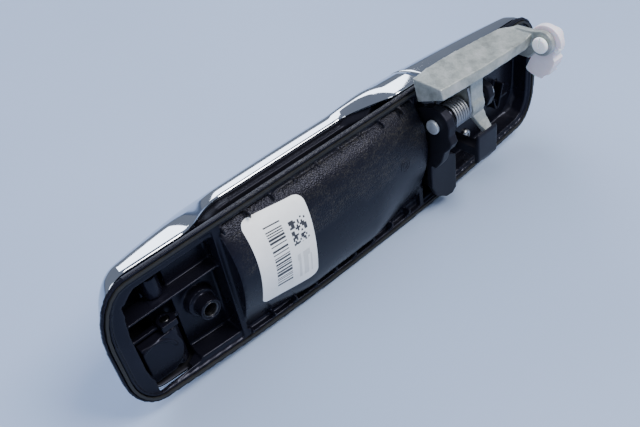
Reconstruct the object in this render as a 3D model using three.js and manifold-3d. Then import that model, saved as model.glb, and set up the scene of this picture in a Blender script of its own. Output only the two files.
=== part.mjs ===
// Pull-type car door handle for a right-hand door, seen as it sits on a vertical door skin.
// Millimetres. +Z is up, -Y points out of the door (chrome side), +Y into the door.
// X runs along the handle: the grip is hinged at the +X end, the latch lever is at the -X end.
// Y = 0 is the plane where the rim of the housing meets the door skin.
import * as THREE from 'three';
import { mergeVertices } from 'three/addons/utils/BufferGeometryUtils.js';
import Module from 'manifold-3d';

const wasm = await Module();
wasm.setup();

// ---------------------------------------------------------------- driving dimensions
const half = 131;                 // half of the overall length
const rimTop = 36;                // upper edge of the rim, straight
const rimLowMid = -36.5;          // lower edge of the rim, bowed outwards
const rimLowBow = 8;              // how far the lower edge rises again at the ends
const cornerHigh = { x: 16, z: 27 };
const cornerLow = { x: 13, z: 19 };
const land = 4.2;                 // width of the rim's flat face
const rimDepth = 2;               // depth of the rim's flange
const floorTop = -10;             // inside face of the two deep trays
const skin = 2.5;                 // wall thickness of the moulding
const gutterTop = -2.9;           // bottom of the shallow channel beside the dome

const dome = { start: 75, end: -36, high: 31.6, low: -29.4, crest: 9.9, endCrest: 7.8, skew: 0.25 };
const ribPitch = 12.5;

const gripEnd = -48.5;            // where the moving grip stops and the fixed cap starts
const capGap = 0.8;
const skirtEdge = -4.6;           // inner edge of the chrome skirts
const crownRise = 37;             // how far the chrome bows out over its full-width ends
const strapRise = 18;             // and over the strap
const strapHigh = 21.5;           // upper and lower edge of the free strap
const strapLow = -25.5;
const strapEdge = -27.5;
const chromeWall = 1.9;

const gripInset = 1.2;            // the skirt is this much smaller than the rim
const hingeEndInset = 4;          // the grip stops short of the rim at the hinge end
const hingeClearance = 2.4;       // between the swinging chrome and the housing inside it
const capClearance = 0.8;
const hinge = { x: 104, y: -9.5, radius: 2 };
const pivot = { y: 9, z: 18.2, radius: 2.5 };
const clip = { y: 23.6, z: 36.1, front: -102.2 };
const boss = { x: 88, z: -2.5, outer: 4.8, bore: 2.9, top: 0.6 };

// ---------------------------------------------------------------- small tools
const clamp01 = t => Math.min(1, Math.max(0, t));
const mix = (a, b, t) => a + (b - a) * t;
const ease = (from, to, x) => {
  const t = clamp01((x - from) / (to - from));
  return t * t * (3 - 2 * t);
};

function solid(geometry) {
  const bare = geometry.clone();
  bare.deleteAttribute('normal');
  bare.deleteAttribute('uv');
  const merged = mergeVertices(bare, 1e-4);
  const mesh = new wasm.Mesh({
    numProp: 3,
    vertProperties: new Float32Array(merged.attributes.position.array),
    triVerts: new Uint32Array(merged.index.array),
  });
  return new wasm.Manifold(mesh);
}

function geometryOf(body) {
  const mesh = body.getMesh();
  const geometry = new THREE.BufferGeometry();
  geometry.setAttribute('position', new THREE.BufferAttribute(mesh.vertProperties, 3));
  geometry.setIndex(new THREE.BufferAttribute(mesh.triVerts, 1));
  return geometry;
}

const join = (...bodies) => bodies.reduce((a, b) => a.add(b));

function box(x0, x1, y0, y1, z0, z1) {
  const geometry = new THREE.BoxGeometry(x1 - x0, y1 - y0, z1 - z0);
  geometry.translate((x0 + x1) / 2, (y0 + y1) / 2, (z0 + z1) / 2);
  return solid(geometry);
}

function shapeOf(points, hole) {
  const shape = new THREE.Shape(points.map(([a, b]) => new THREE.Vector2(a, b)));
  if (hole) shape.holes.push(new THREE.Path(hole.map(([a, b]) => new THREE.Vector2(a, b))));
  return shape;
}

/** Outline given in (X, Z), extruded along Y. */
function plate(points, y0, y1, hole) {
  const options = { depth: y1 - y0, bevelEnabled: false };
  const geometry = new THREE.ExtrudeGeometry(shapeOf(points, hole), options);
  geometry.rotateX(Math.PI / 2);
  geometry.translate(0, y1, 0);
  return solid(geometry);
}

/** Outline given in (Y, Z), extruded along X. */
function beam(points, x0, x1) {
  const options = { depth: x1 - x0, bevelEnabled: false };
  const geometry = new THREE.ExtrudeGeometry(shapeOf(points), options);
  const turn = new THREE.Matrix4().makeBasis(
    new THREE.Vector3(0, 1, 0),
    new THREE.Vector3(0, 0, 1),
    new THREE.Vector3(1, 0, 0),
  );
  geometry.applyMatrix4(turn);
  geometry.translate(x0, 0, 0);
  return solid(geometry);
}

/** Outline given in (X, Y), extruded along Z. */
function slab(points, z0, z1) {
  const options = { depth: z1 - z0, bevelEnabled: false };
  const geometry = new THREE.ExtrudeGeometry(shapeOf(points), options);
  geometry.translate(0, 0, z0);
  return solid(geometry);
}

/** Round body turned about an axis: profile points are [radius, distance along the axis]. */
function turned(profile, axis, x, y, z, sides = 20) {
  const points = profile.map(([r, h]) => new THREE.Vector2(r, h));
  const geometry = new THREE.LatheGeometry(points, sides);
  if (axis === 'x') geometry.rotateZ(-Math.PI / 2);
  if (axis === 'z') geometry.rotateX(Math.PI / 2);
  geometry.translate(x, y, z);
  return solid(geometry);
}

function rod(axis, from, to, radius, centre, sides = 20) {
  const profile = [[0, from], [radius, from], [radius, to], [0, to]];
  return turned(profile, axis, ...centre, sides);
}

function tube(axis, from, to, outer, bore, centre, sides = 20) {
  const hole = rod(axis, from - 1, to + 1, bore, centre, sides);
  return rod(axis, from, to, outer, centre, sides).subtract(hole);
}

function arc(cx, cz, radius, fromDeg, toDeg, steps) {
  return Array.from({ length: steps + 1 }, (_, i) => {
    const angle = THREE.MathUtils.degToRad(mix(fromDeg, toDeg, i / steps));
    return [cx + radius * Math.cos(angle), cz + radius * Math.sin(angle)];
  });
}

// ---------------------------------------------------------------- plan outline of the handle
const lowEdge = x => rimLowMid + rimLowBow * (x / half) ** 2;

function cornerDrop(x, inset, corner, end = half) {
  const reach = corner.x - inset;
  const t = clamp01((Math.abs(x) - (end - inset - reach)) / reach);
  return (corner.z - inset) * (1 - Math.sqrt(1 - t * t));
}

const rimHighAt = (x, inset, end) => rimTop - inset - cornerDrop(x, inset, cornerHigh, end);
const rimLowAt = (x, inset, end) => lowEdge(x) + inset + cornerDrop(x, inset, cornerLow, end);

function rimOutline(inset) {
  const corner = (size, side) => Array.from({ length: 7 }, (_, i) => {
    const t = Math.sin((Math.PI / 2) * (i / 6));
    return side * (half - inset - (size.x - inset) * (1 - t));
  });
  const low = Array.from({ length: 15 }, (_, i) => mix(-1, 1, i / 14) * (half - cornerLow.x));
  const lowXs = [...corner(cornerLow, -1).reverse(), ...low.slice(1, -1), ...corner(cornerLow, 1)];
  const highXs = [...corner(cornerHigh, 1).reverse(), ...corner(cornerHigh, -1)];
  return [
    ...lowXs.map(x => [x, rimLowAt(x, inset)]),
    ...highXs.map(x => [x, rimHighAt(x, inset)]),
  ];
}

/**
 * Domed body: a gridded box pulled onto a plan outline, flat at `back` and arched on the side
 * given by `sign`. The arch stands on `foot` and its height is rise * (1 - t^2) ^ fullness.
 */
function pillow({ nx, nz, xAt, low, high, back, foot, rise, sign, fullness, skew = 0 }) {
  const geometry = new THREE.BoxGeometry(1, 1, 1, nx, 1, nz);
  const at = geometry.attributes.position;
  for (let i = 0; i < at.count; i++) {
    const x = xAt(at.getX(i) + 0.5);
    const t = -Math.cos(Math.PI * (at.getZ(i) + 0.5));
    const leaned = (t - skew) / (1 - skew * t);
    const arch = Math.max(0, 1 - leaned * leaned) ** fullness(x);
    const onCrown = at.getY(i) * sign > 0;
    at.setXYZ(i, x, onCrown ? foot(x) + sign * rise(x) * arch : back(x), mix(low(x), high(x), (1 + t) / 2));
  }
  return solid(geometry);
}

// ---------------------------------------------------------------- chrome surface
// One bowed surface is shared by the moving grip and the fixed cap. Between its two
// full-width ends the strap stands free, narrower and further out.
const strapness = x => ease(88, 56, x) * ease(-31, -14, x);
const skirtAt = (x, strap) => mix(skirtEdge, strapEdge, strap(x));
const hingeSideEnd = half - hingeEndInset;

/** Everything inside the surface that lies `inset` under the outer skin, back to the line `back`. */
function bowedBody({ inset, nx, nz, back, strap = strapness }) {
  const plan = gripInset + inset;
  const gripTip = hingeSideEnd - inset;
  const capTip = half - plan;
  const middle = (gripTip - capTip) / 2;
  const reach = (gripTip + capTip) / 2;
  const endAt = x => (x > 0 ? hingeSideEnd + gripInset : half);
  const bow = x => Math.max(0, 1 - (x / (half + 1)) ** 2) ** mix(0.6, 0.5, strap(x));
  return pillow({
    nx,
    nz,
    xAt: t => middle - reach * Math.cos(Math.PI * t),
    low: x => mix(rimLowAt(x, plan, endAt(x)), strapLow + inset, strap(x)),
    high: x => mix(rimHighAt(x, plan, endAt(x)), strapHigh - inset, strap(x)),
    back,
    foot: x => skirtAt(x, strap) - 1.6 + inset * 0.3,
    rise: x => Math.max(0.1, mix(crownRise, strapRise, strap(x)) * bow(x) - inset * 0.7),
    sign: -1,
    fullness: x => mix(x > 0 ? 0.41 : 0.45, 0.44, strap(x)),
  });
}

const chromeOuter = bowedBody({ inset: 0, nx: 44, nz: 14, back: x => skirtAt(x, strapness) });
const chromeHollow = bowedBody({ inset: chromeWall, nx: 30, nz: 10, back: x => skirtAt(x, strapness) + 3 });
const chromeShell = chromeOuter.subtract(chromeHollow);
const coreInset = chromeWall + 0.4;
const chromeCore = bowedBody({ inset: coreInset, nx: 30, nz: 10, back: x => skirtAt(x, strapness) + 3 });

/** Room for the housing behind the chrome, as if the strap ran on at full width. */
const trayRoom = inset => bowedBody({ inset: chromeWall + inset, nx: 26, nz: 10, back: () => 2, strap: () => 0 });

// ---------------------------------------------------------------- dome of the housing
const domeFullness = x => mix(1, 0.38, ease(dome.start, dome.start - 38, x) * ease(dome.end, dome.end + 38, x));
const domeFoot = -3.6;
const channelFloor = -4.2;
const domeRise = x => mix(dome.endCrest, dome.crest, ease(dome.start, 40, x) * ease(dome.end, 0, x)) - domeFoot;

function domeBody(inset, nx, nz) {
  return pillow({
    nx,
    nz,
    xAt: t => mix(dome.end + inset, dome.start - inset, t),
    low: () => dome.low + inset,
    high: () => dome.high - inset,
    back: () => channelFloor - (inset ? 8 : 0),
    foot: () => domeFoot,
    rise: x => domeRise(x) - inset,
    sign: 1,
    fullness: domeFullness,
    skew: dome.skew,
  });
}

// ---------------------------------------------------------------- fixed housing
const trayBottom = floorTop - skin;
const hingeTray = { from: 77.5, to: half, room: hingeClearance, corner: [[73, 24.5], [73, 42], [96, 42]] };
const leverTray = { from: -half, to: dome.end - skin, room: capClearance };
const hingeWindow = { x0: 98.2, x1: 119.2, z0: -25.9, z1: 24.2 };
const hookWindow = { x0: -72, x1: -32.5, z0: -12, z1: 10.5 };
const pinWall = { z: 12.3, thick: 1, top: -3 };
const pinHolders = [[9.2, 13.3], [-4.4, -1]];
const capScrewSpots = [[-84, -19], [-98, 14]];
const bracketScrewSpots = [[-49, 24], [-79.2, 20]];

function slice(from, to, inset, y0, y1) {
  return plate(rimOutline(inset), y0, y1).intersect(box(from, to, -60, 60, -60, 60));
}

/** Tray behind the chrome: a bowl whose wall follows the chrome, opened at the rim, one corner cut off. */
function addTray(body, { from, to, room, corner }) {
  let outer = slice(from - skin, to + skin, 3.2, trayBottom, -0.5).intersect(trayRoom(room));
  let inner = slice(from, to, land, floorTop, 2).intersect(trayRoom(room + 2));
  if (corner) {
    outer = outer.subtract(plate(corner, trayBottom - 1, -9.2));
    inner = inner.subtract(plate(corner.map(([x, z]) => [x, z - 3]), trayBottom - 1, -7));
  }
  return body.add(outer).subtract(inner).subtract(slice(from, to, land, -1.1, 2));
}

/** Rounded saddle that carries a hinge pin. */
function saddle(z0, z1, top) {
  const reach = hinge.radius + 1.8;
  return slab([...arc(hinge.x, hinge.y, reach, 180, 360, 8), [hinge.x + reach, top], [hinge.x - reach, top]], z0, z1);
}

function baseHousing() {
  let body = plate(rimOutline(0), -rimDepth, 0);
  body = body.add(slice(dome.end - skin, dome.start + skin, 3.4, channelFloor, -1));
  body = addTray(body, hingeTray);
  body = addTray(body, leverTray);
  // Shallow channel round the dome, then the dome itself with the finger cup under it.
  body = body.subtract(slice(dome.end, dome.start, land, gutterTop, 5));
  body = body.add(domeBody(0, 26, 14));
  body = body.subtract(domeBody(skin, 20, 12));
  // Cross ribs that tie the dome's flanks to the rim.
  const foot = gutterTop - 0.4;
  for (let x = dome.start - 1.4; x > dome.end + 2; x -= ribPitch) {
    const low = lowEdge(x) + land - 0.6;
    body = body.add(beam([[foot, 32.6], [-0.8, 32.6], [3.2, 31], [3.2, 29], [foot, 29]], x - 0.5, x + 0.5));
    body = body.add(beam([[foot, low], [foot, -26.6], [2.2, -26.6], [2.2, -28.6], [-0.8, low]], x - 0.5, x + 0.5));
  }
  // Hinge tray: window for the grip's foot, crossed by the two walls that hold the pins.
  const { x0, x1, z0, z1 } = hingeWindow;
  body = body.subtract(box(x0, x1, -20, 0, z0, z1));
  const thin = pinWall.thick / 2;
  const wall = box(dome.start + 1, 125, trayBottom, pinWall.top, pinWall.z - thin, pinWall.z + thin);
  const beamLow = box(x0 - 0.2, x1 + 0.2, trayBottom, -9.4, -4.4, -2.6);
  body = body.add(wall.add(beamLow).intersect(trayRoom(hingeTray.room)));
  for (const [low, high] of pinHolders) body = body.add(saddle(low, high, -5.5));
  const bore = hinge.radius + 0.06;
  body = body.subtract(rod('z', 9, 21, bore, [hinge.x, hinge.y, 0]));
  body = body.subtract(rod('z', -21, -0.8, bore, [hinge.x, hinge.y, 0]));
  // Screw boss with a wider root.
  const bossAt = [boss.x, 0, boss.z];
  body = body.add(rod('y', floorTop - 0.5, -5.5, 6.6, bossAt));
  body = body.add(rod('y', floorTop - 0.5, boss.top, boss.outer, bossAt));
  body = body.subtract(rod('y', -8.4, 5, boss.bore + 0.85, bossAt));
  // Lever tray: window for the hook, thin stiffening ribs, fixing holes.
  const hook = hookWindow;
  body = body.subtract(box(hook.x0, hook.x1, -20, -6.4, hook.z0, hook.z1));
  body = body.add(plate([[-96.2, 6], [-97.4, 6], [-101.2, -2.4], [-104.4, -12], [-103.2, -12], [-100, -2]],
    floorTop - 0.5, -4.5));
  body = body.add(plate([[-109, 1], [-110.2, 1], [-106.2, -12], [-105, -12]], floorTop - 0.5, -4.5));
  body = body.add(box(-116, -105.4, floorTop - 0.5, -6.5, -9, -7.8));
  for (const [sx, sz] of [...capScrewSpots, ...bracketScrewSpots]) {
    body = body.subtract(rod('y', -20, 5, 1.75, [sx, 0, sz], 14));
  }
  // Groove for the seal.
  return body.subtract(plate(rimOutline(1.2), -1, 1, rimOutline(2.9)));
}

function rimGasket() {
  return plate(rimOutline(1.45), -0.8, 0.5, rimOutline(2.65));
}

function threadedInsert() {
  const at = [boss.x, 0, boss.z];
  const profile = [[boss.bore, -8.2], [3.65, -8.2], [3.65, -5], [3.4, -4.6], [3.4, -3.6], [3.65, -3.2],
    [3.65, 0.3], [boss.bore + 0.3, 0.3], [boss.bore, 0], [boss.bore, -8.2]];
  return turned(profile, 'y', ...at);
}

/** Screw with a domed head on `top`, pointing out of the door (-Y). */
function screw([x, z], top, length, shank, head) {
  const profile = [[0, -length], [shank * 0.5, -length], [shank, 1 - length], [shank, 0], [head, 0],
    [head, 0.8], [head * 0.75, 1.7], [head * 0.4, 2], [head * 0.4, 0.9], [0, 0.9]];
  return turned(profile, 'y', x, top, z, 12);
}

function endCapShell() {
  const inside = box(-half - 1, gripEnd - capGap, -60, 0, -60, 60);
  const posts = capScrewSpots.map(([x, z]) => rod('y', -40, trayBottom - 0.3, 3.4, [x, 0, z], 14)
    .intersect(chromeOuter)
    .subtract(rod('y', -18.5, 0, 1.6, [x, 0, z], 14)));
  return join(chromeShell.intersect(inside), ...posts);
}

// ---------------------------------------------------------------- moving grip
function gripShell() {
  return chromeShell.intersect(box(gripEnd, half + 1, -60, 0, -60, 60));
}

const footScrewSpots = [[86, 12], [86, -12]];
const armScrewSpots = [[-29.5, -3], [-22, -3]];

function gripCore() {
  let body = chromeCore.intersect(box(gripEnd + 0.6, 98, -60, 0, -60, 60));
  const fingerPad = pillow({
    nx: 16,
    nz: 8,
    xAt: t => mix(-8, 60, t),
    low: () => strapLow + 5,
    high: () => strapHigh - 5,
    back: () => -32,
    foot: () => -24.6,
    rise: x => 3 * Math.max(0, 1 - ((x - 26) / 34) ** 2) ** 0.7,
    sign: 1,
    fullness: () => 0.6,
  });
  body = body.add(fingerPad);
  body = body.subtract(box(-60, -17, -14.9, 5, -60, 60));
  body = body.subtract(box(70, 130, -14.9, 5, -60, 60));
  body = body.subtract(box(80, 130, -17.3, 5, -60, 60));
  for (const [x, z] of [...footScrewSpots, ...armScrewSpots]) {
    body = body.subtract(rod('y', -24.4, 0, 1.6, [x, 0, z], 14));
  }
  return body;
}

function hingeFoot() {
  const reach = hinge.radius + 1.9;
  const lug = (z0, z1) => slab([
    ...arc(hinge.x, hinge.y, reach, 0, 180, 8),
    [hinge.x - reach, -17],
    [hinge.x + reach, -17],
  ], z0, z1);
  const base = box(81, hinge.x + reach, -17, -14.6, -25.4, 22.6);
  const pad = rod('y', -9.8, -5.4, 12, [113.5, 0, -14.5], 28).intersect(box(99, 118.8, -20, 0, -25.4, -4.7));
  const padBead = rod('y', -6, -4.6, 9.6, [113.5, 0, -14.5], 28)
    .subtract(rod('y', -20, 0, 8.6, [113.5, 0, -14.5], 28))
    .intersect(box(99, 118.8, -20, 0, -13, -4.7));
  const room = bowedBody({ inset: coreInset, nx: 26, nz: 10, back: () => 0, strap: () => 0 });
  let body = join(base, lug(13.7, 23.7), lug(-25.4, -4.7), pad).intersect(room).add(padBead);
  body = body.subtract(rod('z', -20.8, 20.8, hinge.radius + 0.06, [hinge.x, hinge.y, 0]));
  for (const [x, z] of footScrewSpots) body = body.subtract(rod('y', -30, 0, 1.75, [x, 0, z], 14));
  return body;
}

function tailArm() {
  const arm = box(-64.5, -18, -11, -7, -9, 3);
  const root = box(-33, -18, -14.6, -7, -9, 3);
  const riser = box(-64.5, -58.4, -11, 22, -6.8, -2);
  const lip = beam([[20.4, -6.8], [21.2, -6.8], [22.6, -5.4], [23, -3.6], [23, 8.6], [22.4, 10], [21.8, 10],
    [20.4, 3.4]], -67, -53.4);
  const web = box(-64.5, -58.4, 18, 21, -6.8, -2);
  let body = join(arm, root, riser, lip, web);
  for (const [x, z] of armScrewSpots) body = body.subtract(rod('y', -30, 0, 1.75, [x, 0, z], 14));
  return body;
}

// ---------------------------------------------------------------- latch lever
/** Bar with four corner lines: [x, [y, z] at B, A, C, D], B and A being on the door-skin side. */
function fourCornerBar(stations) {
  const steps = stations.length - 1;
  const geometry = new THREE.BoxGeometry(1, 1, 1, steps, 1, 1);
  const at = geometry.attributes.position;
  for (let i = 0; i < at.count; i++) {
    const [x, b, a, c, d] = stations[Math.round((at.getX(i) + 0.5) * steps)];
    const near = at.getY(i) < 0;
    const [y, z] = at.getZ(i) > 0 ? (near ? a : d) : (near ? b : c);
    at.setXYZ(i, x, y, z);
  }
  return solid(geometry);
}

const hubSpan = [-67.8, -59];

function bellcrankLever() {
  const { y, z } = pivot;
  const weight = fourCornerBar([
    [-101.6, [7, 32.6], [7.4, 40.4], [17.2, 34.6], [17.8, 40.8]],
    [-94, [4, 33.6], [2.6, 40.8], [18.6, 34.2], [18.2, 39.2]],
    [-62, [4.2, 34.4], [2, 43.2], [19.5, 35.8], [18.3, 40.3]],
    [-43, [4.2, 33], [2, 43.8], [19.6, 37.2], [18.3, 41.9]],
    [-34, [4.4, 32], [2.2, 43.2], [19.5, 37.9], [18.1, 42.6]],
  ]);
  const hub = rod('x', ...hubSpan, 6.5, [0, y, z], 24);
  const neck = beam([[y - 4, z + 4], [6.5, 36], [14.6, 37], [14.2, 30], [14.4, 21], [y + 3, z]], ...hubSpan);
  const finSide = beam([[y + 2, z - 5.5], [y + 3, z + 2], [14.4, 21], [13.6, 16], [15.6, 10], [19.8, 3.6],
    [19.6, 2], [18.4, 1.4], [15, 4.4], [12.6, 9.4]], -72, -58);
  const finPlan = plate([[-59, 60], [-59, 17], [-62.6, 9], [-66, 1], [-69.4, 1], [-69.2, 8], [-67.8, 20],
    [-67.8, 60]], 0, 60);
  const eye = beam([[9.2, 27.2], [17.2, 27.2], [20.4, 30.8], ...arc(clip.y - 0.6, clip.z, 6.2, -110, 112, 14),
    [17.4, 41.2], [8, 41]], -101.8, -98.8);
  let body = join(weight, hub, neck, finSide.intersect(finPlan), eye);
  body = body.subtract(rod('x', -80, -50, 3.5, [0, y, z]));
  return body.subtract(rod('x', -110, -90, 2.1, [0, clip.y, clip.z], 16));
}

function mechanismBracket() {
  const { y, z } = pivot;
  const nearEar = beam([[-9.7, 25], [0.4, 24.8], [3.4, 26.4], [y - 1, 27.6], [y + 4, 26.8], [y + 7.4, z + 5.4],
    [y + 8.8, z + 1.6], [y + 8.4, z - 3], [y + 10, z - 6.6], [y + 8.6, z - 9.6], [14.4, 5], [12.6, -1], [9, -6],
    [-4.6, -6], [-4.6, 11.6], [-9.7, 11.6]], -43.6, -39);
  const farEar = beam([[-9.7, 26.6], [3, 27.6], [y + 4.4, z + 5], [y + 6.2, z], [y + 4.4, z - 5], [1, 12],
    [-9.7, 12]], -75.6, -71.8);
  const base = box(-82.4, -39, -9.7, -7.4, 12, 27.2);
  const foot = plate([[-39, -4], [-39, -19], [-42.4, -26.5], [-49.5, -31.2], [-54, -31.8], [-57, -29.5],
    [-57, -9], [-45.5, -2]], 3, 6.2);
  const pedestal = box(-55, -45.6, -9.7, 4, -26.5, -19.4);
  let body = join(nearEar, farEar, base, foot, pedestal);
  body = body.subtract(rod('x', -90, -30, pivot.radius + 0.06, [0, y, z]));
  for (const [sx, sz] of bracketScrewSpots) body = body.subtract(rod('y', -20, 0, 1.75, [sx, 0, sz], 14));
  return body;
}

function pivotPin() {
  const r = pivot.radius;
  const profile = [[0, -78.4], [r - 0.5, -78.4], [r, -77.9], [r, -77.3], [r - 0.6, -77.3], [r - 0.6, -76.2],
    [r, -76.2], [r, -38.8], [3.4, -38.8], [3.4, -37.9], [2.9, -37.3], [0, -37.3]];
  return turned(profile, 'x', 0, pivot.y, pivot.z);
}

function pinClip() {
  const ring = tube('x', -77.1, -76.4, 4.6, pivot.radius - 0.5, [0, pivot.y, pivot.z], 20);
  return ring.subtract(box(-80, -70, pivot.y - 1.2, pivot.y + 1.2, pivot.z - 9, pivot.z));
}

function springSleeve() {
  const profile = [[pivot.radius + 0.1, -58.4], [4.9, -58.4], [4.9, -45.7], [7.7, -45.7], [7.7, -44.2],
    [7.1, -43.9], [pivot.radius + 0.1, -43.9], [pivot.radius + 0.1, -58.4]];
  return turned(profile, 'x', 0, pivot.y, pivot.z, 24);
}

function leverBush() {
  return tube('x', -68.1, -58.7, 3.4, pivot.radius + 0.1, [0, pivot.y, pivot.z]);
}

/** Torsion spring: a close coil round the sleeve, with both legs running up along Z. */
class SpringLine extends THREE.Curve {
  getPoint(s) {
    const turns = 6.5;
    const legShare = 0.09;
    const radius = 5.9;
    const near = -47.4;
    const far = -57.6;
    const { y, z } = pivot;
    if (s < legShare) {
      const k = s / legShare;
      return new THREE.Vector3(near, y - radius, z + 11 * (1 - k));
    }
    if (s > 1 - legShare) {
      const k = (s - 1 + legShare) / legShare;
      return new THREE.Vector3(far, y + radius - 1.6 * k * k, z + 12 * k);
    }
    const k = (s - legShare) / (1 - 2 * legShare);
    const angle = Math.PI + 2 * Math.PI * turns * k;
    return new THREE.Vector3(mix(near, far, k), y + radius * Math.cos(angle), z + radius * Math.sin(angle));
  }
}

function returnSpring() {
  const wire = new THREE.Shape();
  wire.absarc(0, 0, 0.62, 0, 2 * Math.PI, false);
  const options = { steps: 120, extrudePath: new SpringLine(), curveSegments: 3, bevelEnabled: false };
  return solid(new THREE.ExtrudeGeometry(wire, options));
}

// ---------------------------------------------------------------- rod clip
/** Stem that snaps the clip to the lever: a split round head outside, a flange at the far end. */
function clipStem() {
  const end = clip.front - 10.2;
  const profile = [[0, end], [2.6, end], [3, end + 0.4], [3, end + 1.2], [1.8, end + 1.2], [1.8, -98.4],
    [3.7, -98.4], [4, -98], [4, -97.1], [3.4, -96.4], [0, -96.1]];
  const stem = turned(profile, 'x', 0, clip.y, clip.z, 24);
  return stem.subtract(box(-97.2, -95, clip.y - 0.4, clip.y + 0.4, clip.z - 1, clip.z + 5));
}

function rodClip() {
  const { y, z, front } = clip;
  const fan = rod('x', front - 3.2, front, 8.7, [0, y - 0.5, z - 0.9], 32)
    .subtract(box(front - 5, front + 1, y + 4.4, y + 12, z - 12, z - 1.8));
  const tail = beam([[17, 31], [15.8, 25.4], [13.4, 19.4], [14.4, 18], [18.4, 16.4], [22.6, 16], [23.8, 17.8],
    [26.6, 19.4], [28.4, 24.4], [29, 27], [27.8, 28.4], [27.8, 30.2], [29.4, 31], [29.2, 32.4], [27.8, 33.6],
    [26, 38], [20, 39]], front - 6.8, front);
  const hubBoss = rod('x', front - 6.8, front, 4.6, [0, y, z], 20);
  const channel = rod('y', 0, 40, 1.7, [front - 6.8, 0, 21.6], 14);
  return join(fan, tail, hubBoss).subtract(channel).subtract(rod('x', -120, -100, 1.9, [0, y, z], 16));
}

function rodGate() {
  const { y, z, front } = clip;
  const back = front - 7.1;
  const ring = tube('x', back - 1.4, back, 4.2, 1.9, [0, y, z], 16);
  const blade = beam([[y - 3, z - 3.4], [y - 5.4, 23], [y - 5, 19.4], [y - 1.6, 18], [y + 1.6, 20.4],
    [y + 3.4, z - 3]], back - 1.4, back);
  return ring.add(blade).subtract(rod('x', -125, -100, 1.9, [0, y, z], 16));
}

// ---------------------------------------------------------------- small fixed pieces
const bumperSpots = [[-37.3, 22], [-37.3, -22]];

function gripBumper([x, z]) {
  return turned([[0, -14.4], [1, -14.4], [1.5, -13.9], [1.6, -12.8], [0, -12.8]], 'y', x, 0, z, 14);
}

function partLabel() {
  const { x0, x1, z0, z1, corner } = { x0: 38.2, x1: 66.4, z0: -16, z1: 28.6, corner: 3.6 };
  const outline = [
    ...arc(x1 - corner, z1 - corner, corner, 0, 90, 5),
    ...arc(x0 + corner, z1 - corner, corner, 90, 180, 5),
    ...arc(x0 + corner, z0 + corner, corner, 180, 270, 5),
    ...arc(x1 - corner, z0 + corner, corner, 270, 360, 5),
  ];
  const film = domeBody(-0.35, 26, 14).subtract(domeBody(-0.12, 26, 14));
  return film.intersect(plate(outline, -4, 20));
}

// ---------------------------------------------------------------- the assembly
const parts = [];
function part(name, body, colour, roughness, metalness) {
  const material = new THREE.MeshStandardMaterial({ color: colour, roughness, metalness });
  const mesh = new THREE.Mesh(geometryOf(body), material);
  mesh.name = name;
  parts.push(mesh);
}

/** One mesh for each of a set of alike pieces, named name_1, name_2 and so on. */
function alike(name, spots, make, colour, roughness, metalness) {
  spots.forEach((spot, i) => part(`${name}_${i + 1}`, make(spot), colour, roughness, metalness));
}

const black = 0x16171b;
const rubber = 0x101113;
const chrome = 0xd9dde2;
const steel = 0x9a9ea2;
const zinc = 0xc3c6c8;
const white = 0xf1ecee;

part('base_housing', baseHousing(), black, 0.45, 0);
part('rim_gasket', rimGasket(), rubber, 0.8, 0);
part('threaded_insert', threadedInsert(), 0x3a3b3e, 0.4, 1);
part('end_cap_shell', endCapShell(), chrome, 0.06, 1);
alike('end_cap_screw', capScrewSpots, at => screw(at, floorTop + 0.1, 7, 1.45, 3), steel, 0.4, 1);
alike('grip_bumper', bumperSpots, gripBumper, rubber, 0.85, 0);
part('part_label', partLabel(), 0xf4f3f0, 0.6, 0);

part('hinge_pin_upper', rod('z', 9.3, 20.5, hinge.radius, [hinge.x, hinge.y, 0]), steel, 0.35, 1);
part('hinge_pin_lower', rod('z', -20.5, -1.2, hinge.radius, [hinge.x, hinge.y, 0]), steel, 0.35, 1);

part('mechanism_bracket', mechanismBracket(), black, 0.5, 0);
alike('bracket_screw', bracketScrewSpots, at => screw(at, -7.3, 7, 1.45, 2.7), steel, 0.4, 1);
part('pivot_pin', pivotPin(), steel, 0.3, 1);
part('pivot_pin_clip', pinClip(), steel, 0.4, 1);
part('spring_sleeve', springSleeve(), black, 0.5, 0);
part('return_spring', returnSpring(), 0xa9acae, 0.3, 1);

part('grip_shell', gripShell(), chrome, 0.06, 1);
part('grip_core', gripCore(), black, 0.4, 0);
part('grip_hinge_foot', hingeFoot(), black, 0.45, 0);
alike('hinge_foot_screw', footScrewSpots, at => screw(at, -14.5, 6.5, 1.45, 2.6), steel, 0.4, 1);
part('grip_tail_arm', tailArm(), black, 0.45, 0);
alike('tail_arm_screw', armScrewSpots, at => screw(at, -6.9, 15, 1.45, 2.6), steel, 0.4, 1);

part('bellcrank_lever', bellcrankLever(), zinc, 0.45, 0.8);
part('lever_bush', leverBush(), 0xe6e2d6, 0.5, 0);
part('clip_stem', clipStem(), white, 0.4, 0);
part('rod_clip', rodClip(), white, 0.4, 0);
part('rod_clip_gate', rodGate(), white, 0.4, 0);

const handle = new THREE.Group();
handle.name = 'car_door_handle';
handle.add(...parts);

export default handle;
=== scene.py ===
"""Looks of a car door handle, seen from the side that faces into the door. Metres, +Z up."""
import math

import bmesh
import bpy
import numpy as np
from mathutils import Matrix, Vector


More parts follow.
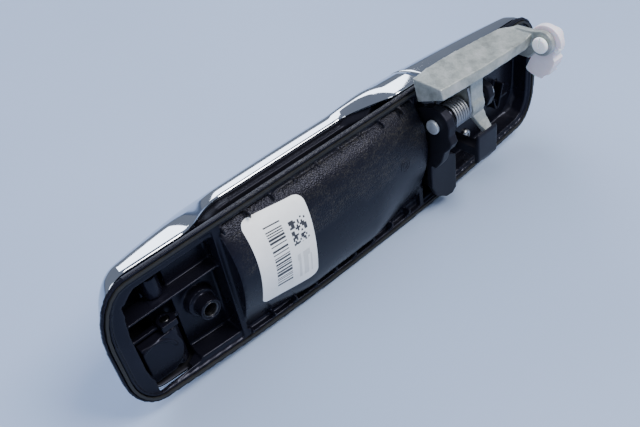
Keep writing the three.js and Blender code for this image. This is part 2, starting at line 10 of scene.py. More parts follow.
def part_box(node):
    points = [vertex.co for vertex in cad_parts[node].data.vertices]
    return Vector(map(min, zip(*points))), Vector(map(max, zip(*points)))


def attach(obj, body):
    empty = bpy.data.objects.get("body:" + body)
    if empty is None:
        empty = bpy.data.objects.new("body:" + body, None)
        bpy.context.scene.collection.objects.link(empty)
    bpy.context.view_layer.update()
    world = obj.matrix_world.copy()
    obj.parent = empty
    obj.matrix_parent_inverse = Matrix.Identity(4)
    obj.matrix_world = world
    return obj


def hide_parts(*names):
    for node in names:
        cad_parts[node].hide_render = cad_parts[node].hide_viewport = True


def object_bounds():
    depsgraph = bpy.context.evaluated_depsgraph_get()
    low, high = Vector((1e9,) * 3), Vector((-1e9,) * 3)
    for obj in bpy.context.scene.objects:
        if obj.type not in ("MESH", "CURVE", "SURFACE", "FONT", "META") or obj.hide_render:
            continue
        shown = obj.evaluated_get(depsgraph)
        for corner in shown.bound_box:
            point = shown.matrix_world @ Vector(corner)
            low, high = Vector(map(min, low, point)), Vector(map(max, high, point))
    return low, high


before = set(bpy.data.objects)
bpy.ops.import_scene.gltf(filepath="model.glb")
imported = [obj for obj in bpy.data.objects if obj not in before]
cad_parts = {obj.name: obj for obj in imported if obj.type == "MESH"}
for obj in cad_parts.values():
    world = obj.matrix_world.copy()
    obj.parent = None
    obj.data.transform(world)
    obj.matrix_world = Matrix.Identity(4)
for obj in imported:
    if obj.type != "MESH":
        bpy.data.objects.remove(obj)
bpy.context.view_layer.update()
MM = 0.001

# ---------------------------------------------------------------- camera
CAMERA_AT = Vector((0.16515, 0.1918, 0.2026))
CAMERA_RIGHT = Vector((-0.727, 0.672, -0.142))
CAMERA_BACK = Vector((0.451, 0.623, 0.639))
CAMERA_WIDTH_DEG = 48.3


def make_camera():
    data = bpy.data.cameras.new("camera")
    data.sensor_width = 36
    data.lens = data.sensor_width / 2 / math.tan(math.radians(CAMERA_WIDTH_DEG / 2))
    data.clip_start = 0.01
    data.clip_end = 20
    camera = bpy.data.objects.new("camera", data)
    bpy.context.scene.collection.objects.link(camera)
    back = CAMERA_BACK.normalized()
    right = (CAMERA_RIGHT - CAMERA_RIGHT.dot(back) * back).normalized()
    up = back.cross(right)
    turn = Matrix((right, up, back)).transposed()
    camera.matrix_world = Matrix.Translation(CAMERA_AT) @ turn.to_4x4()
    bpy.context.scene.camera = camera


make_camera()


# ---------------------------------------------------------------- shader helpers
class Shader:
    """A node material with short calls for the nodes that these finishes use."""

    def __init__(self, name):
        self.material = bpy.data.materials.new(name)
        self.material.use_nodes = True
        self.tree = self.material.node_tree
        self.bsdf = self.tree.nodes["Principled BSDF"]
        self.place = self.node("ShaderNodeTexCoord").outputs["Object"]

    def node(self, kind, **settings):
        node = self.tree.nodes.new(kind)
        for key, value in settings.items():
            setattr(node, key, value)
        return node

    def put(self, socket, value):
        if isinstance(value, bpy.types.NodeSocket):
            self.tree.links.new(value, socket)
        else:
            socket.default_value = value

    def set(self, **inputs):
        for key, value in inputs.items():
            name = key.replace("_", " ")
            self.put(self.bsdf.inputs[name], value)
        return self

    def stretched(self, scale):
        mapping = self.node("ShaderNodeMapping")
        self.put(mapping.inputs["Vector"], self.place)
        mapping.inputs["Scale"].default_value = scale
        return mapping.outputs["Vector"]

    def noise(self, scale, detail=3, roughness=0.55, vector=None):
        noise = self.node("ShaderNodeTexNoise")
        self.put(noise.inputs["Vector"], vector or self.place)
        noise.inputs["Scale"].default_value = scale
        noise.inputs["Detail"].default_value = detail
        noise.inputs["Roughness"].default_value = roughness
        return noise.outputs["Fac"]

    def cells(self, scale, vector=None, feature="F1"):
        cells = self.node("ShaderNodeTexVoronoi", feature=feature)
        self.put(cells.inputs["Vector"], vector or self.place)
        cells.inputs["Scale"].default_value = scale
        return cells.outputs["Distance"]

    def math(self, operation, a, b=0.0, c=0.0):
        node = self.node("ShaderNodeMath", operation=operation)
        for socket, value in zip(node.inputs, (a, b, c)):
            self.put(socket, value)
        return node.outputs[0]

    def range(self, value, low, high, to_low=0.0, to_high=1.0):
        node = self.node("ShaderNodeMapRange", interpolation_type="SMOOTHSTEP")
        for socket, item in zip(node.inputs, (value, low, high, to_low, to_high)):
            self.put(socket, item)
        return node.outputs[0]

    def ramp(self, value, *stops):
        ramp = self.node("ShaderNodeValToRGB")
        self.put(ramp.inputs["Fac"], value)
        elements = ramp.color_ramp.elements
        while len(elements) < len(stops):
            elements.new(0.5)
        for element, (at, colour) in zip(elements, stops):
            element.position = at
            element.color = (*colour, 1)
        return ramp.outputs["Color"]

    def blend(self, factor, a, b):
        mix = self.node("ShaderNodeMix", data_type="RGBA")
        self.put(mix.inputs["Factor"], factor)
        self.put(mix.inputs[6], a if isinstance(a, bpy.types.NodeSocket) else (*a, 1))
        self.put(mix.inputs[7], b if isinstance(b, bpy.types.NodeSocket) else (*b, 1))
        return mix.outputs[2]

    def axis(self, name):
        split = self.node("ShaderNodeSeparateXYZ")
        self.put(split.inputs[0], self.place)
        return split.outputs[name]

    def within(self, value, low, high, soft=0.0001):
        """1 between low and high, with an edge of width soft."""
        rise = self.range(value, low - soft, low + soft)
        fall = self.range(value, high - soft, high + soft, 1.0, 0.0)
        return self.math("MULTIPLY", rise, fall)

    def bump(self, height, strength, distance=0.0002, normal=None):
        bump = self.node("ShaderNodeBump")
        bump.inputs["Strength"].default_value = strength
        bump.inputs["Distance"].default_value = distance
        self.put(bump.inputs["Height"], height)
        if normal:
            self.put(bump.inputs["Normal"], normal)
        return bump.outputs["Normal"]


# ---------------------------------------------------------------- finishes
def black_plastic(name, roughness=0.4, tint=(0.005, 0.005, 0.007)):
    s = Shader(name)
    cloud = s.noise(38, 4)
    grain = s.noise(2600, 2)
    colour = s.ramp(cloud, (0.25, tint), (0.8, tuple(c * 1.7 for c in tint)))
    rough = s.range(cloud, 0.2, 0.8, roughness - 0.07, roughness + 0.09)
    fine = s.bump(grain, 0.14, 0.00006)
    s.set(Base_Color=colour, Roughness=rough, Normal=s.bump(cloud, 0.1, 0.0006, fine))
    # The bluish specular tint is a painted blue reflection on the black plastic.
    s.set(Specular_IOR_Level=0.22, Specular_Tint=(0.7, 0.72, 1, 1))
    return s.material


def housing_plastic():
    """Moulded black plastic: glossy low on the dome, grained high on its flank, with dust specks
    there and a painted sheen of light on the upward-facing flank.
    """
    s = Shader("housing_plastic")
    x, z = s.axis("X"), s.axis("Z")
    along = s.within(x, -0.034, 0.072, 0.004)
    wander = s.math("MULTIPLY_ADD", s.noise(70, 4), 0.016, z)
    high = s.range(wander, 0.0135, 0.0185)
    upper_flank = s.math("MULTIPLY", along, high)
    grain = s.cells(1500)
    specks = s.noise(1300, 5, 0.75)
    smears = s.noise(90, 5, 0.65, s.stretched((1, 1, 3)))
    # The lighter brownish colour high on the flank is partly dust specks and smears, partly a
    # painted sheen of light where the flank faces up.
    dust_and_painted_sheen = s.math("MULTIPLY", upper_flank, s.range(specks, 0.42, 0.72, 0.0, 0.7))
    dust_and_painted_sheen = s.math("MULTIPLY", dust_and_painted_sheen, s.range(smears, 0.36, 0.62, 0.2, 1.0))
    base = s.ramp(s.noise(30, 3), (0.3, (0.003, 0.003, 0.005)), (0.75, (0.006, 0.006, 0.011)))
    colour = s.blend(dust_and_painted_sheen, base, (0.06, 0.056, 0.045))
    rough = s.range(upper_flank, 0, 1, 0.27, 0.36)
    rough = s.math("ADD", rough, s.range(s.noise(45, 4), 0.3, 0.7, -0.05, 0.07))
    satin = s.bump(s.noise(2400, 2), 0.1, 0.00005)
    height = s.math("MULTIPLY", grain, s.range(upper_flank, 0, 1, 0.02, 1.0))
    s.set(Base_Color=colour, Roughness=rough, Normal=s.bump(height, 0.75, 0.00022, satin))
    # The bluish specular tint is a painted blue reflection on the black housing.
    s.set(Specular_IOR_Level=0.2, Specular_Tint=(0.72, 0.75, 1, 1))
    return s.material


def chrome_plate():
    s = Shader("chrome_plate")
    haze = s.noise(60, 4)
    rough = s.range(haze, 0.3, 0.8, 0.035, 0.09)
    colour = s.ramp(haze, (0.2, (0.5, 0.53, 0.58)), (0.8, (0.6, 0.63, 0.68)))
    ripple = s.bump(s.noise(900, 2), 0.015, 0.0001)
    s.set(Base_Color=colour, Metallic=1.0, Roughness=rough, Normal=ripple)
    return s.material


def cast_zinc():
    s = Shader("cast_zinc")
    patch = s.noise(130, 6, 0.72)
    pits = s.cells(900)
    dark, middle, light = (0.2, 0.215, 0.21), (0.32, 0.345, 0.33), (0.46, 0.465, 0.47)
    colour = s.ramp(patch, (0.3, dark), (0.5, middle), (0.72, light))
    rough = s.range(patch, 0.25, 0.75, 0.4, 0.6)
    sandy = s.bump(s.noise(1700, 4), 0.4, 0.0001)
    s.set(Base_Color=colour, Metallic=0.5, Roughness=rough)
    s.set(Normal=s.bump(pits, 0.25, 0.0003, sandy))
    return s.material


def metal(name, dark, light, low, high, metallic=1.0):
    s = Shader(name)
    patch = s.noise(300, 5, 0.65)
    rough = s.range(patch, 0.25, 0.75, low, high)
    s.set(Base_Color=s.ramp(patch, (0.25, dark), (0.75, light)), Metallic=metallic, Roughness=rough)
    s.set(Normal=s.bump(s.noise(2200, 3), 0.2, 0.00006))
    return s.material


def rubber(name):
    s = Shader(name)
    bloom = s.noise(140, 4)
    colour = s.ramp(bloom, (0.3, (0.005, 0.005, 0.005)), (0.8, (0.014, 0.014, 0.014)))
    s.set(Base_Color=colour, Roughness=s.range(bloom, 0.3, 0.7, 0.6, 0.8))
    s.set(Normal=s.bump(s.noise(1800), 0.3, 0.0001))
    return s.material


def nylon(name, dark, light):
    s = Shader(name)
    cloud = s.noise(120, 3)
    s.set(Base_Color=s.ramp(cloud, (0.2, dark), (0.8, light)))
    s.set(Roughness=s.range(cloud, 0.3, 0.7, 0.3, 0.42))
    s.set(Subsurface_Weight=0.25, Subsurface_Scale=0.004)
    s.set(Normal=s.bump(s.noise(1500, 2), 0.08, 0.0001))
    return s.material


def printed_film():
    """White film with a ladder of bars, a block of small squares and grey strips: no lettering."""
    s = Shader("printed_film")
    x, z = s.axis("X"), s.axis("Z")

    def printed(cells, x0, x1, z0, z1):
        block = s.math("MULTIPLY", s.within(x, x0, x1), s.within(z, z0, z1))
        return s.math("MULTIPLY", cells, block)

    def random_cells(step_x, step_z, seed):
        cell = s.node("ShaderNodeCombineXYZ")
        s.put(cell.inputs[0], s.math("FLOOR", s.math("DIVIDE", x, step_x)))
        s.put(cell.inputs[1], s.math("FLOOR", s.math("DIVIDE", z, step_z)))
        cell.inputs[2].default_value = seed
        noise = s.node("ShaderNodeTexWhiteNoise")
        s.put(noise.inputs["Vector"], cell.outputs[0])
        return s.math("GREATER_THAN", noise.outputs["Value"], 0.5)

    bars = printed(random_cells(1.0, 0.00052, 3.0), 0.0515, 0.059, -0.0098, 0.0245)
    squares = printed(random_cells(0.0008, 0.001, 7.0), 0.0408, 0.0488, 0.0088, 0.0208)
    strips = printed(random_cells(0.0012, 1.0, 11.0), 0.0412, 0.0484, -0.011, 0.0035)
    ink = s.math("MAXIMUM", bars, squares)
    ink = s.math("MAXIMUM", ink, s.math("MULTIPLY", strips, 0.25))
    paper = s.ramp(s.noise(160, 4), (0.3, (0.84, 0.84, 0.82)), (0.7, (0.93, 0.93, 0.91)))
    s.set(Base_Color=s.blend(ink, paper, (0.03, 0.03, 0.035)))
    s.set(Roughness=s.range(s.noise(200), 0.3, 0.7, 0.42, 0.55))
    s.set(Normal=s.bump(s.noise(500, 3), 0.05, 0.0001))
    return s.material


HOUSING = housing_plastic()
BLACK = black_plastic("black_plastic")
GLOSS_BLACK = black_plastic("gloss_black_plastic", 0.24, (0.005, 0.005, 0.006))
SHELL_BACK = black_plastic("shell_back_plastic", 0.5, (0.006, 0.006, 0.007))
CHROME = chrome_plate()
ZINC = cast_zinc()
STEEL = metal("zinc_plated_steel", (0.36, 0.37, 0.38), (0.6, 0.61, 0.62), 0.24, 0.42)
DARK_STEEL = metal("blackened_steel", (0.03, 0.03, 0.033), (0.1, 0.1, 0.11), 0.24, 0.4)
SPRING = metal("spring_steel", (0.22, 0.23, 0.25), (0.36, 0.37, 0.39), 0.42, 0.58)
PIN = metal("cut_pin_steel", (0.42, 0.45, 0.5), (0.72, 0.76, 0.8), 0.35, 0.6, 0.7)
RUBBER = rubber("black_rubber")
WHITE = nylon("white_nylon", (0.7, 0.65, 0.7), (0.84, 0.79, 0.84))
BRIGHT_WHITE = nylon("bright_white_nylon", (0.86, 0.85, 0.85), (0.93, 0.92, 0.92))
IVORY = nylon("ivory_nylon", (0.62, 0.58, 0.48), (0.74, 0.7, 0.6))
FILM = printed_film()


# ---------------------------------------------------------------- pieces
def add_piece(name, mesh, body, nodes, *materials):
    piece = bpy.data.objects.new(name, mesh)
    bpy.context.scene.collection.objects.link(piece)
    mesh.materials.clear()
    for material in materials:
        mesh.materials.append(material)
    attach(piece, body)
    if nodes:
        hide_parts(*nodes)
    return piece


def shade_smooth(mesh, angle=None):
    mesh.shade_smooth()
    if angle:
        mesh.set_sharp_from_angle(angle=math.radians(angle))


def evaluated_mesh(piece):
    graph = bpy.context.evaluated_depsgraph_get()
    return bpy.data.meshes.new_from_object(piece.evaluated_get(graph))


def softened_mesh(node, voxel, passes):
    """The CAD node's shape with moulded, rounded edges: voxel remesh, then smoothing."""
    work = bpy.data.objects.new("work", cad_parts[node].data.copy())
    bpy.context.scene.collection.objects.link(work)
    remesh = work.modifiers.new("remesh", "REMESH")
    remesh.mode = "VOXEL"
    remesh.voxel_size = voxel * MM
    smooth = work.modifiers.new("smooth", "SMOOTH")
    smooth.factor = 0.5
    smooth.iterations = passes
    mesh = evaluated_mesh(work)
    bpy.data.objects.remove(work)
    shade_smooth(mesh)
    return mesh


def softened(node, body, material, voxel=0.35, passes=3):
    return add_piece(f"{node}_form", softened_mesh(node, voxel, passes), body, [node], material)


def mesh_from(name, points, faces):
    mesh = bpy.data.meshes.new(name)
    mesh.from_pydata([Vector(p) * MM for p in points], [], faces)
    mesh.update()
    return mesh


def lathe_mesh(name, profile, axis, centre, sides=48, lobes=None):
    """Turned solid. profile: (radius, height) pairs in mm. lobes: first and last six-lobe rows."""
    lobe_depth = 0.16
    first, last = lobes or (len(profile), 0)
    points = []
    for row, (radius, height) in enumerate(profile):
        for k in range(sides):
            angle = 2 * math.pi * k / sides
            r = radius * (1 + (lobe_depth * math.cos(6 * angle) if first <= row <= last else 0))
            a, b = r * math.cos(angle), r * math.sin(angle)
            local = {"x": (height, a, b), "y": (b, height, a), "z": (a, b, height)}[axis]
            points.append([local[i] + centre[i] for i in range(3)])
    faces = []
    for row in range(len(profile) - 1):
        for k in range(sides):
            n = (k + 1) % sides
            here, above = row * sides, (row + 1) * sides
            faces.append((here + k, here + n, above + n, above + k))
    mesh = mesh_from(name, points, faces)
    tidy = bmesh.new()
    tidy.from_mesh(mesh)
    bmesh.ops.remove_doubles(tidy, verts=tidy.verts, dist=1e-6)
    bmesh.ops.recalc_face_normals(tidy, faces=tidy.faces)
    tidy.to_mesh(mesh)
    tidy.free()
    shade_smooth(mesh, 35)
    return mesh


def bevelled(piece, width, segments=2):
    bevel = piece.modifiers.new("bevel", "BEVEL")
    bevel.width = width * MM
    bevel.segments = segments
    bevel.limit_method = "ANGLE"
    bevel.angle_limit = math.radians(38)
    return piece


# ---------------------------------------------------------------- outlines shared with the CAD
HALF = 131
RIM_TOP = 36
CORNER_HIGH = (16, 27)
CORNER_LOW = (13, 19)
SKIRT_EDGE, STRAP_EDGE = -4.6, -27.5
CROWN_RISE, STRAP_RISE = 37, 18
STRAP_LOW, STRAP_HIGH = -25.5, 21.5
GRIP_INSET = 1.2
HINGE_TIP = 127
GRIP_END = -48.5
CAP_GAP = 0.8
CHROME_WALL = 1.9
DOME = {"start": 75, "end": -36, "high": 31.6, "low": -29.4,
        "crest": 9.9, "end_crest": 7.8, "foot": -3.6}
DOME_SKEW = 0.25


def mix(a, b, t):
    return a + (b - a) * t


def ease(start, end, x):
    t = np.clip((x - start) / (end - start), 0, 1)
    return t * t * (3 - 2 * t)


def low_edge(x):
    return -36.5 + 8 * (x / HALF) ** 2


def corner_drop(x, inset, corner, end):
    reach = corner[0] - inset
    t = np.clip((np.abs(x) - (end - inset - reach)) / reach, 0, 1)
    return (corner[1] - inset) * (1 - np.sqrt(np.maximum(0, 1 - t * t)))


def strapness(x):
    return ease(88, 56, x) * ease(-31, -14, x)


def skin_section(x, t):
    """Point (y, z) of the chrome's outer skin at length x, for t from -1 at the low edge to 1."""
    strap = strapness(x)
    end = HINGE_TIP + GRIP_INSET if x > 0 else HALF
    low = low_edge(x) + GRIP_INSET + corner_drop(x, GRIP_INSET, CORNER_LOW, end)
    high = RIM_TOP - GRIP_INSET - corner_drop(x, GRIP_INSET, CORNER_HIGH, end)
    low, high = mix(low, STRAP_LOW, strap), mix(high, STRAP_HIGH, strap)
    bow = max(0.0, 1 - (x / (HALF + 1)) ** 2) ** mix(0.6, 0.5, strap)
    rise = mix(CROWN_RISE, STRAP_RISE, strap) * bow
    fullness = mix(0.41 if x > 0 else 0.45, 0.44, strap)
    skirt = mix(SKIRT_EDGE, STRAP_EDGE, strap)
    arch = np.maximum(0, 1 - t * t) ** fullness
    return skirt, skirt - 1.6 - rise * arch, mix(low, high, (1 + t) / 2)


def chrome_mesh(name, x_open, x_tip, steps):
    """Open sheet of the chrome's outer skin from a cut at x_open to the closed tip at x_tip."""
    v = np.linspace(0, 1, 61)
    t = 0.6 * (2 * v - 1) - 0.4 * np.cos(np.pi * v)
    points, faces = [], []
    for u in np.linspace(0, 1, steps):
        x = mix(x_open, x_tip, math.sin(u * math.pi / 2))
        skirt, y, z = skin_section(x, t)
        points += [(x, skirt, z[0]), *zip([x] * len(t), y, z), (x, skirt, z[-1])]
    width = len(t) + 2
    for row in range(steps - 1):
        for k in range(width - 1):
            a = row * width + k
            faces.append((a, a + 1, a + 1 + width, a + width))
    faces.append(tuple(range((steps - 1) * width, steps * width)))
    mesh = mesh_from(name, points, faces)
    tidy = bmesh.new()
    tidy.from_mesh(mesh)
    bmesh.ops.recalc_face_normals(tidy, faces=tidy.faces)
    if sum(f.normal.y * f.calc_area() for f in tidy.faces) > 0:
        bmesh.ops.reverse_faces(tidy, faces=tidy.faces)
    tidy.to_mesh(mesh)
    tidy.free()
    return mesh


def chrome_shell(name, body, node, x_open, x_tip, steps):
    mesh = chrome_mesh(name, x_open, x_tip, steps)
    piece = add_piece(name, mesh, body, [node], CHROME, SHELL_BACK)
    bevelled(piece, 0.7, 3)
    wall = piece.modifiers.new("wall", "SOLIDIFY")
    wall.thickness = CHROME_WALL * MM
    wall.offset = -1
    wall.material_offset = 1
    wall.material_offset_rim = 0
    shade_smooth(piece.data, 50)
    return piece


def dome_height(x, z):
    """Height y of the dome's outside over (x, z), in mm."""
    start, end = DOME["start"], DOME["end"]
    fullness = mix(1, 0.38, ease(start, start - 38, x) * ease(end, end + 38, x))
    crest = mix(DOME["end_crest"], DOME["crest"], ease(start, 40, x) * ease(end, 0, x))
    t = np.clip((z - DOME["low"]) / (DOME["high"] - DOME["low"]), 0, 1) * 2 - 1
    leaned = (t - DOME_SKEW) / (1 - DOME_SKEW * t)
    return DOME["foot"] + (crest - DOME["foot"]) * np.maximum(0, 1 - leaned * leaned) ** fullness


def housing():
    """The moulded housing: softened CAD shape with its dome drawn on to the exact curve."""
    mesh = softened_mesh("base_housing", 0.5, 3)
    count = len(mesh.vertices)
    flat = np.empty(count * 3)
    mesh.vertices.foreach_get("co", flat)
    at = flat.reshape(-1, 3) / MM
    x, y, z = at.T
    target = dome_height(x, z)
    slope = np.abs(dome_height(x, z + 0.3) - dome_height(x, z - 0.3)) / 0.6
    inside = (x > DOME["end"] + 0.8) & (x < DOME["start"] - 0.8)
    inside &= (z > DOME["low"] + 0.4) & (z < DOME["high"] - 0.4)
    near = inside & (np.abs(y - target) < 0.55 * (1 + slope)) & (slope < 3)
    at[near, 1] = target[near]
    mesh.vertices.foreach_set("co", (at * MM).ravel())
    mesh.update()
    shade_smooth(mesh)
    return add_piece("housing_form", mesh, "housing", ["base_housing"], HOUSING)


def over_dome(x, along, lift):
    """Points lifted off the dome at length x, for distances along its girth from the crest line."""
    z = np.linspace(DOME["low"] + 0.01, DOME["high"] - 0.01, 1200)
    y = dome_height(x, z)
    girth = np.concatenate([[0], np.cumsum(np.hypot(np.diff(y), np.diff(z)))])
    girth -= np.interp(8.0, z, girth)
    normal = np.stack([np.gradient(z), -np.gradient(y)], 1)
    normal /= np.linalg.norm(normal, axis=1)[:, None]
    at = [np.interp(along, girth, column) for column in (y, z, normal[:, 0], normal[:, 1])]
    return at[0] + lift * at[2], at[1] + lift * at[3]


def moulded_ring(name, x, along, radius, thickness):
    """Fine raised ring on the dome, as a mould insert leaves."""
    curve = bpy.data.curves.new(name, "CURVE")
    curve.dimensions = "3D"
    curve.bevel_depth = thickness * MM
    curve.bevel_resolution = 2
    spline = curve.splines.new("POLY")
    steps = 48
    spline.points.add(steps - 1)
    for k in range(steps):
        angle = 2 * math.pi * k / steps
        px = x + radius * math.cos(angle)
        y, z = over_dome(px, along + radius * math.sin(angle), 0)
        spline.points[k].co = (px * MM, float(y) * MM, float(z) * MM, 1)
    spline.use_cyclic_u = True
    ring = bpy.data.objects.new(name, curve)
    bpy.context.scene.collection.objects.link(ring)
    curve.materials.append(HOUSING)
    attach(ring, "housing")
    return ring


def label():
    """Thin film laid over the dome, with rounded corners."""
    (x0, _, z0), (x1, _, z1) = (np.array(c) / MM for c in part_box("part_label"))
    corner = 3.6
    columns, rows = 40, 90
    points, faces = [], []
    for lift in (0.3, 0.08):
        for i in range(columns + 1):
            for j in range(rows + 1):
                z = mix(z0, z1, j / rows)
                reach = max(0.0, corner - min(z - z0, z1 - z))
                tuck = corner - math.sqrt(max(0.0, corner ** 2 - reach ** 2))
                x = mix(x0 + tuck, x1 - tuck, i / columns)
                points.append((x, float(dome_height(x, z)) + lift, z))
    sheet = (columns + 1) * (rows + 1)

    def at(i, j, side=0):
        return side * sheet + i * (rows + 1) + j

    for i in range(columns):
        for j in range(rows):
            quad = (at(i, j), at(i, j + 1), at(i + 1, j + 1), at(i + 1, j))
            faces.append(quad)
            faces.append(tuple(q + sheet for q in reversed(quad)))
    border = [(i, 0) for i in range(columns)] + [(columns, j) for j in range(rows)]
    border += [(i, rows) for i in range(columns, 0, -1)] + [(0, j) for j in range(rows, 0, -1)]
    for (i, j), (k, m) in zip(border, border[1:] + border[:1]):
        faces.append((at(i, j), at(k, m), at(k, m, 1), at(i, j, 1)))
    mesh = mesh_from("label_film", points, faces)
    shade_smooth(mesh, 40)
    return add_piece("label_film", mesh, "housing", ["part_label"], FILM)


# ---------------------------------------------------------------- turned pieces
PIVOT = (0, 9, 18.2)


def node_centre(node, axis):
    low, high = (np.array(c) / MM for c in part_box(node))
    centre = (low + high) / 2
    centre["xyz".index(axis)] = 0
    return centre


def turned(name, node, body, profile, axis, material, lobes=None, sides=48, centre=None):
    centre = node_centre(node, axis) if centre is None else centre
    mesh = lathe_mesh(name, profile, axis, centre, sides, lobes)
    return add_piece(name, mesh, body, [node], material)


def screws():
    """Pan-head screws with a six-lobe recess, each on its CAD node."""
    bodies = {"end_cap_screw": "housing", "bracket_screw": "housing",
              "hinge_foot_screw": "grip", "tail_arm_screw": "grip"}
    thread, core, pitch, head_height = 1.4, 1.12, 0.9, 2
    for kind, body in bodies.items():
        for number in (1, 2):
            node = f"{kind}_{number}"
            low, high = (np.array(c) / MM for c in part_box(node))
            head = (high[0] - low[0]) / 2
            top, tip = high[1], low[1]
            seat = top - head_height
            height = tip + 1.4
            profile = [(0, tip), (0.5, tip), (thread, height)]
            while height + pitch < seat - 0.4:
                profile += [(thread, height + pitch * 0.35), (core, height + pitch * 0.7)]
                profile.append((thread, height + pitch))
                height += pitch
            profile += [(thread, seat), (head - 0.2, seat), (head, seat + 0.25)]
            profile += [(head, seat + 0.8), (head * 0.93, seat + 1.3)]
            profile += [(head * 0.74, seat + 1.72), (head * 0.52, seat + 1.93)]
            recess = len(profile)
            profile += [(head * 0.5, top - 0.06), (head * 0.44, top - 0.16)]
            profile += [(head * 0.4, top - 1.05), (0, top - 1.15)]
            turned(f"{node}_form", node, body, profile, "y", STEEL, (recess, recess + 2))


def pivot_hardware():
    """Pivot pin, sleeve and bush. Profiles: (radius, X) in mm."""
    pin = [(0, -78.4), (1.9, -78.4), (2.4, -77.9), (2.5, -77.3), (1.9, -77.25), (1.9, -76.25),
           (2.5, -76.2), (2.5, -38.8), (3.3, -38.8), (3.5, -38.6), (3.5, -37.7), (3.35, -37.4),
           (3.1, -37.3), (2.2, -37.25), (0.8, -37.3), (0, -37.4)]
    turned("pivot_pin_form", "pivot_pin", "housing", pin, "x", PIN, centre=PIVOT)
    sleeve = [(2.6, -58.4), (4.7, -58.4), (4.9, -58.2), (4.9, -45.9), (7.5, -45.7), (7.7, -45.5),
              (7.7, -44.5), (7.5, -44.2), (7.0, -43.95), (2.9, -43.9), (2.6, -44.1), (2.6, -58.4)]
    turned("spring_sleeve_form", "spring_sleeve", "housing", sleeve, "x", GLOSS_BLACK, centre=PIVOT)
    bush = [(2.6, -68.1), (3.25, -68.1), (3.4, -67.95), (3.4, -58.85), (3.25, -58.7),
            (2.6, -58.7), (2.6, -68.1)]
    turned("lever_bush_form", "lever_bush", "lever", bush, "x", IVORY, centre=PIVOT)
    softened("clip_stem", "lever", BRIGHT_WHITE, 0.18, 3)
    bevelled(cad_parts["pivot_pin_clip"], 0.12)


def hinge_pins():
    for node in ("hinge_pin_upper", "hinge_pin_lower"):
        low, high = (np.array(c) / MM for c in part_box(node))
        z0, z1 = low[2], high[2]
        profile = [(0, z0), (1.5, z0), (1.9, z0 + 0.3), (2, z0 + 0.6)]
        profile += [(2, z1 - 0.6), (1.9, z1 - 0.3), (1.5, z1), (0, z1)]
        turned(f"{node}_form", node, "housing", profile, "z", DARK_STEEL)


def insert():
    """Knurled metal insert with a threaded bore."""
    low, high = (np.array(c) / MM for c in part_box("threaded_insert"))
    top, bottom = high[1], low[1]
    profile = [(2.9, bottom), (3.65, bottom), (3.65, -5), (3.4, -4.6), (3.4, -3.6), (3.65, -3.2),
               (3.65, top - 0.15), (3.5, top), (3.25, top)]
    height = top - 0.3
    while height - 1 > bottom:
        profile += [(2.92, height), (2.92, height - 0.2), (3.2, height - 0.5), (3.2, height - 0.6)]
        height -= 1
    profile.append((2.9, bottom))
    turned("threaded_insert_form", "threaded_insert", "housing", profile, "y", DARK_STEEL)


def bumpers():
    for number in (1, 2):
        node = f"grip_bumper_{number}"
        profile = [(0, -14.4), (0.8, -14.4), (1.2, -14.25), (1.45, -13.9), (1.55, -13.3)]
        profile += [(1.6, -12.8), (0, -12.8)]
        turned(f"{node}_form", node, "housing", profile, "y", RUBBER)


def spring():
    """Close torsion coil round the sleeve, with its two legs."""
    turns, radius, near, far = 6.5, 5.9, -47.4, -57.6
    near_leg, far_leg, far_bend, wire_radius = 11, 12, 1.6, 0.62
    steps = 190
    points = []
    for k in np.linspace(0, 1, 14, endpoint=False):
        points.append((near, PIVOT[1] - radius, PIVOT[2] + near_leg * (1 - k)))
    for k in np.linspace(0, 1, steps + 1):
        angle = math.pi + 2 * math.pi * turns * k
        y, z = PIVOT[1] + radius * math.cos(angle), PIVOT[2] + radius * math.sin(angle)
        points.append((mix(near, far, k), y, z))
    for k in np.linspace(0.1, 1, 10):
        points.append((far, PIVOT[1] + radius - far_bend * k * k, PIVOT[2] + far_leg * k))
    curve = bpy.data.curves.new("return_spring_form", "CURVE")
    curve.dimensions = "3D"
    curve.bevel_depth = wire_radius * MM
    curve.bevel_resolution = 4
    curve.use_fill_caps = True
    line = curve.splines.new("POLY")
    line.points.add(len(points) - 1)
    for point, at in zip(line.points, points):
        point.co = (*(c * MM for c in at), 1)
    curve.materials.append(SPRING)
    wire = bpy.data.objects.new("return_spring_form", curve)
    bpy.context.scene.collection.objects.link(wire)
    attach(wire, "housing")
    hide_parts("return_spring")


def skin_height(x, z):
    """Height y of the chrome's outer skin over (x, z), in mm."""
    _, skin, along = skin_section(x, np.linspace(-1, 1, 201))
    return float(np.interp(z, along, skin))


def cap_posts():
    """Screw posts inside the end cap's shell. Each foot follows the slope of the skin."""
    buried = 1
    for number in (1, 2):
        low, high = (np.array(c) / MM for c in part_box(f"end_cap_screw_{number}"))
        x, z = (low[0] + high[0]) / 2, (low[2] + high[2]) / 2
        root = skin_height(x, z) + buried
        profile = [(1.6, -12.8), (3.2, -12.8), (3.4, -13), (3.5, root)]
        profile += [(0, root), (0, -18.5), (1.6, -18.5), (1.6, -12.8)]
        mesh = lathe_mesh("post", profile, "y", (x, 0, z), 32)
        for vertex in mesh.vertices:
            px, py, pz = vertex.co / MM
            if py < root + 0.01:
                vertex.co.y = (skin_height(px, pz) + buried) * MM
        post = add_piece(f"cap_post_{number}", mesh, "housing", [], SHELL_BACK)
        bevelled(post, 0.1)


def repaint(node, material):
    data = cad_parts[node].data
    data.materials.clear()
    data.materials.append(material)


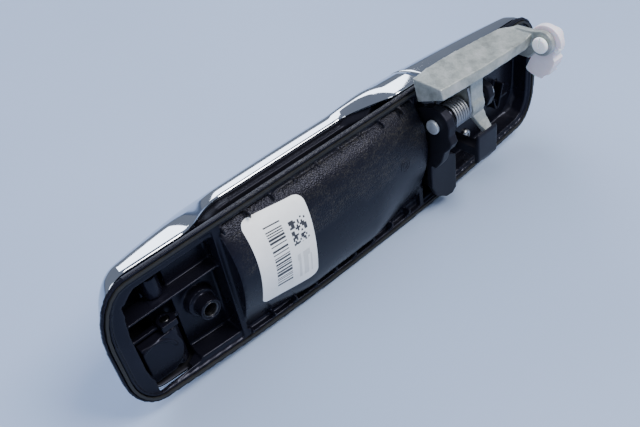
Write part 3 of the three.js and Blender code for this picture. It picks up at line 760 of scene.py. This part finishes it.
housing()
label()
softened("mechanism_bracket", "housing", BLACK)
softened("bellcrank_lever", "lever", ZINC, 0.35, 4)
softened("grip_core", "grip", BLACK, 0.7, 4)
softened("grip_hinge_foot", "grip", HOUSING, 0.4, 3)
softened("grip_tail_arm", "grip", BLACK)
softened("rod_clip", "clip", WHITE, 0.25, 4)
softened("rod_clip_gate", "clip", WHITE, 0.25, 3)
chrome_shell("grip_shell_form", "grip", "grip_shell", GRIP_END, HINGE_TIP, 150)
chrome_shell("end_cap_form", "housing", "end_cap_shell", GRIP_END - CAP_GAP, GRIP_INSET - HALF, 70)
cap_posts()
screws()
pivot_hardware()
hinge_pins()
insert()
bumpers()
spring()
moulded_ring("mould_mark_large", 31, 24, 5, 0.16)
moulded_ring("mould_mark_small", -19, 0, 3, 0.14)
moulded_ring("mould_mark_inner", -19, 0, 1.5, 0.14)
repaint("rim_gasket", RUBBER)
repaint("pivot_pin_clip", STEEL)


# ---------------------------------------------------------------- stage
def make_floor():
    low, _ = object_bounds()
    size = 6.0
    mesh = bpy.data.meshes.new("floor")
    z = low[2] - 0.0006
    corners = [(-size, -size, z), (size, -size, z), (size, size, z), (-size, size, z)]
    mesh.from_pydata(corners, [], [(0, 1, 2, 3)])
    floor = bpy.data.objects.new("floor", mesh)
    bpy.context.scene.collection.objects.link(floor)
    s = Shader("pale_floor")
    colour = s.ramp(s.noise(3, 2), (0.3, (0.29, 0.37, 0.52)), (0.7, (0.32, 0.4, 0.56)))
    s.set(Base_Color=colour, Roughness=0.7)
    mesh.materials.append(s.material)


def area_light(name, at, toward, size, watts, colour):
    data = bpy.data.lights.new(name, "AREA")
    data.shape = "RECTANGLE"
    data.size, data.size_y = size
    data.energy = watts
    data.color = colour
    lamp = bpy.data.objects.new(name, data)
    lamp.location = at
    lamp.rotation_mode = "QUATERNION"
    lamp.rotation_quaternion = (Vector(toward) - Vector(at)).to_track_quat("-Z", "Y")
    bpy.context.scene.collection.objects.link(lamp)
    return lamp


def make_lights():
    world = bpy.data.worlds.new("studio")
    bpy.context.scene.world = world
    world.use_nodes = True
    sky = world.node_tree.nodes["Background"].inputs
    sky["Color"].default_value = (0.6, 0.68, 0.86, 1)
    sky["Strength"].default_value = 0.42
    centre = (0, 0, 0)
    area_light("key", (-0.35, 0.5, 0.9), centre, (0.5, 0.5), 16, (1, 0.98, 0.95))
    overhead = area_light("overhead", (0.4, -0.2, 1.2), centre, (2.4, 1.2), 20, (0.74, 0.82, 1))
    overhead.visible_glossy = False
    area_light("front", (-0.4, -1.0, 0.6), centre, (0.9, 0.5), 9, (0.84, 0.9, 1))
    area_light("side", (1.0, 0.5, 0.5), centre, (0.6, 0.5), 4, (0.85, 0.9, 1))


make_floor()
make_lights()
